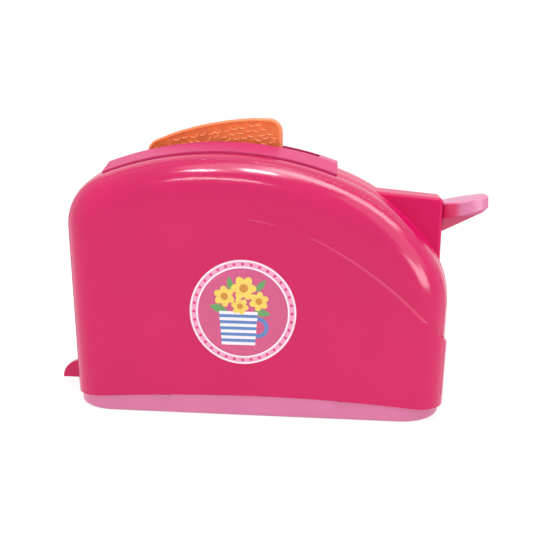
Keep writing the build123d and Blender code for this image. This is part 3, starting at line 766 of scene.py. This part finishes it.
def make_badge():
    """Ring of dots round a ground with a striped mug of flowers."""
    badge = Badge()
    white = ink("print_white", PRINT_WHITE)
    rose = ink("print_rose", PRINT_ROSE)
    blush = ink("print_blush", PRINT_BLUSH)
    blue = ink("print_blue", PRINT_BLUE)
    yellow = ink("print_yellow", PRINT_YELLOW)
    amber = ink("print_amber", PRINT_AMBER)
    green = ink("print_green", PRINT_GREEN)
    dusky = ink("print_ground", PRINT_GROUND)

    edge = circle((0, 0), RING_OUTER, RING_SIDES)
    outer = circle((0, 0), RING_OUTER - EDGE_LINE, RING_SIDES)
    inner = circle((0, 0), RING_INNER, RING_SIDES)
    ground = circle((0, 0), RING_INNER - EDGE_LINE, RING_SIDES)
    badge.lay("badge_edge_line", white, (GROUND_LEVEL, edge, outer))
    badge.lay("badge_ring", blush, (GROUND_LEVEL, outer, inner))
    badge.lay("badge_ring_dots", rose, *[(DECOR_LEVEL, dot) for dot in ring_dots()])
    badge.lay("badge_inner_line", white, (GROUND_LEVEL, inner, ground))
    badge.lay("badge_ground", dusky, (GROUND_LEVEL, ground))

    handle = (MUG_SHIFT + MUG_HALF_WIDTH, HANDLE_HEIGHT)
    grip = [circle(handle, radius, HANDLE_SIDES) for radius in (HANDLE_OUTER, HANDLE_INNER)]
    badge.lay("badge_mug_handle", blue, (DECOR_LEVEL, *grip))
    badge.lay("badge_mug", white, (MUG_LEVEL, mug_band(MUG_FOOT, MUG_RIM)))
    badge.lay("badge_mug_stripes", blue, *[(STRIPE_LEVEL, stripe) for stripe in mug_stripes()])

    badge.lay("badge_leaves", green, *[(DECOR_LEVEL, leaf(*terms)) for terms in LEAVES])
    blooms = [(FLOWER_LEVEL + i, petals(*terms)) for i, terms in enumerate(FLOWERS)]
    badge.lay("badge_flowers", yellow, *blooms)
    hearts = []
    for middle, radius, _ in FLOWERS:
        heart = circle(middle, radius * HEART_SHARE, HEART_SIDES)
        hearts.append((FLOWER_LEVEL + len(FLOWERS), heart))
    badge.lay("badge_flower_hearts", amber, *hearts)


# Stage

def make_camera():
    data = bpy.data.cameras.new("camera")
    data.sensor_width = SENSOR
    data.lens = FOCAL_PIXELS / IMAGE_SIDE * SENSOR
    data.clip_start = CAMERA_NEAR
    camera = add_object("camera", data)
    turn = (
        Matrix.Rotation(math.radians(CAMERA_YAW), 4, "Z")
        @ Matrix.Rotation(math.radians(90 - CAMERA_PITCH), 4, "X")
        @ Matrix.Rotation(math.radians(CAMERA_ROLL), 4, "Z")
    )
    camera.matrix_world = Matrix.Translation(CAMERA_PLACE) @ turn
    bpy.context.scene.camera = camera


def softbox(name, azimuth, elevation, distance, width, height, brightness):
    """Rectangular lamp aimed at the object, placed by its direction from there."""
    data = bpy.data.lights.new(name, "AREA")
    data.shape = "RECTANGLE"
    data.size = width
    data.size_y = height
    data.energy = brightness * math.pi * width * height
    lamp = add_object(name, data)
    across = math.radians(azimuth)
    up = math.radians(elevation)
    level = math.cos(up)
    away = Vector((math.sin(across) * level, -math.cos(across) * level, math.sin(up)))
    lamp.location = Vector(LAMP_TARGET) + away * distance
    lamp.rotation_euler = away.to_track_quat("Z", "Y").to_euler()
    return lamp


def seen_by(owner, *rays):
    """One for rays of the given kinds, zero for all others."""
    path = add_node(owner, "ShaderNodeLightPath")
    seen = path.outputs[rays[0]]
    for ray in rays[1:]:
        seen = calculate(owner, "MAXIMUM", seen, path.outputs[ray])
    return seen


def make_world():
    """Soft studio light all round; the camera, gloss and glass see plain white."""
    world = bpy.data.worlds.new("studio")
    bpy.context.scene.world = world
    world.use_nodes = True
    background = world.node_tree.nodes["Background"]
    background.inputs["Color"].default_value = (1, 1, 1, 1)
    seen = seen_by(world, "Is Camera Ray", "Is Glossy Ray", "Is Transmission Ray")
    link(world, spread(world, seen, WORLD_STRENGTH, 1.0), background.inputs["Strength"])


def make_floor():
    """Plain white floor that keeps the object's shadow."""
    sides = ((-1, -1), (1, -1), (1, 1), (-1, 1))
    mesh = bpy.data.meshes.new("floor")
    mesh.from_pydata([(x * FLOOR_HALF, y * FLOOR_HALF, 0) for x, y in sides], [], [(0, 1, 2, 3)])
    floor = add_object("floor", mesh)
    floor.location.z = -FLOOR_DROP

    material, shader = new_material("floor_paper")
    shader.inputs["Base Color"].default_value = (FLOOR_GREY, FLOOR_GREY, FLOOR_GREY, 1)
    shader.inputs["Roughness"].default_value = FLOOR_ROUGHNESS
    white = add_node(material, "ShaderNodeEmission", Color=(1, 1, 1, 1), Strength=FLOOR_WHITE)
    seen = seen_by(material, "Is Camera Ray", "Is Glossy Ray")
    mix = add_node(material, "ShaderNodeMixShader")
    link(material, calculate(material, "MULTIPLY", seen, 1 - FLOOR_SHADE), mix.inputs["Fac"])
    link(material, shader.outputs["BSDF"], mix.inputs[1])
    link(material, white.outputs["Emission"], mix.inputs[2])
    output = material.node_tree.nodes["Material Output"]
    link(material, mix.outputs["Shader"], output.inputs["Surface"])
    mesh.materials.append(material)


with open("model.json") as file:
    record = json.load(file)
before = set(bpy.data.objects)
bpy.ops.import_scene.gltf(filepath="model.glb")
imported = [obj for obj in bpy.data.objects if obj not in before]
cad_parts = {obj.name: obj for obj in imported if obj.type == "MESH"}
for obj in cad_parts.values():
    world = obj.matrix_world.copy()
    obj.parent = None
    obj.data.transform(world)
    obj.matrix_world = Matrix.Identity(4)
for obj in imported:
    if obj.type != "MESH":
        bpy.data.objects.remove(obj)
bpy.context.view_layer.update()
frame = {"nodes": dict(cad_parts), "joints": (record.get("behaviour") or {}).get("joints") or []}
bpy.context.scene.view_settings.view_transform = "Standard"

make_camera()
make_world()
make_floor()
for terms in LAMPS:
    softbox(*terms)
for terms in FILLS:
    softbox(*terms).visible_glossy = False
for terms in GLINTS:
    softbox(*terms).visible_diffuse = False

body_plastic = plastic("body_plastic", MAGENTA, roughness=0.15, gloss=0.4)
paint(body_plastic, "front_shell", "rear_shell", "rocker_arm")
# The band's lighter magenta is painted light
paint(plastic("band_plastic", BAND_MAGENTA, roughness=0.32, gloss=0.14), "centre_band")
# The collar's paler pink is painted sheen of the light from above
paint(plastic("collar_plastic", COLLAR_PINK, roughness=0.4), "slot_collar")
make_seam("front_seam", "front_shell", -SEAM_DEPTH, body_plastic)
make_seam("rear_seam", "rear_shell", SEAM_DEPTH, body_plastic)
paint(plastic("guide_plastic", MAGENTA, roughness=0.4), "front_toast_guide", "rear_toast_guide")
paint(plastic("pale_plastic", PALE_PINK, roughness=0.34), "base")
paint(knob_plastic(), "lever_knob")
paint(plastic("nylon", NYLON, roughness=0.5), "front_pivot_washer", "rear_pivot_washer")
paint(metal("steel", STEEL), "pivot_pin", "base_screws", "shell_screws")
paint(rubber("pad_rubber", PAD_RUBBER), "up_stop_pad", "down_stop_pad")
paint(ink("print_film", PRINT_ROSE), "front_sticker")
toast_plastic = plastic(
    "toast_plastic", TOAST_BROWN, roughness=0.42, variation=0.14, grain=0.1, flow=190.0
)
make_slice(toast_plastic)
# The crumb marks are painted paler than the toast: painted highlight
make_ridges(plastic("toast_ridge_plastic", TOAST_RIDGE, roughness=0.42, edge=0.1 * MM))
make_badge()
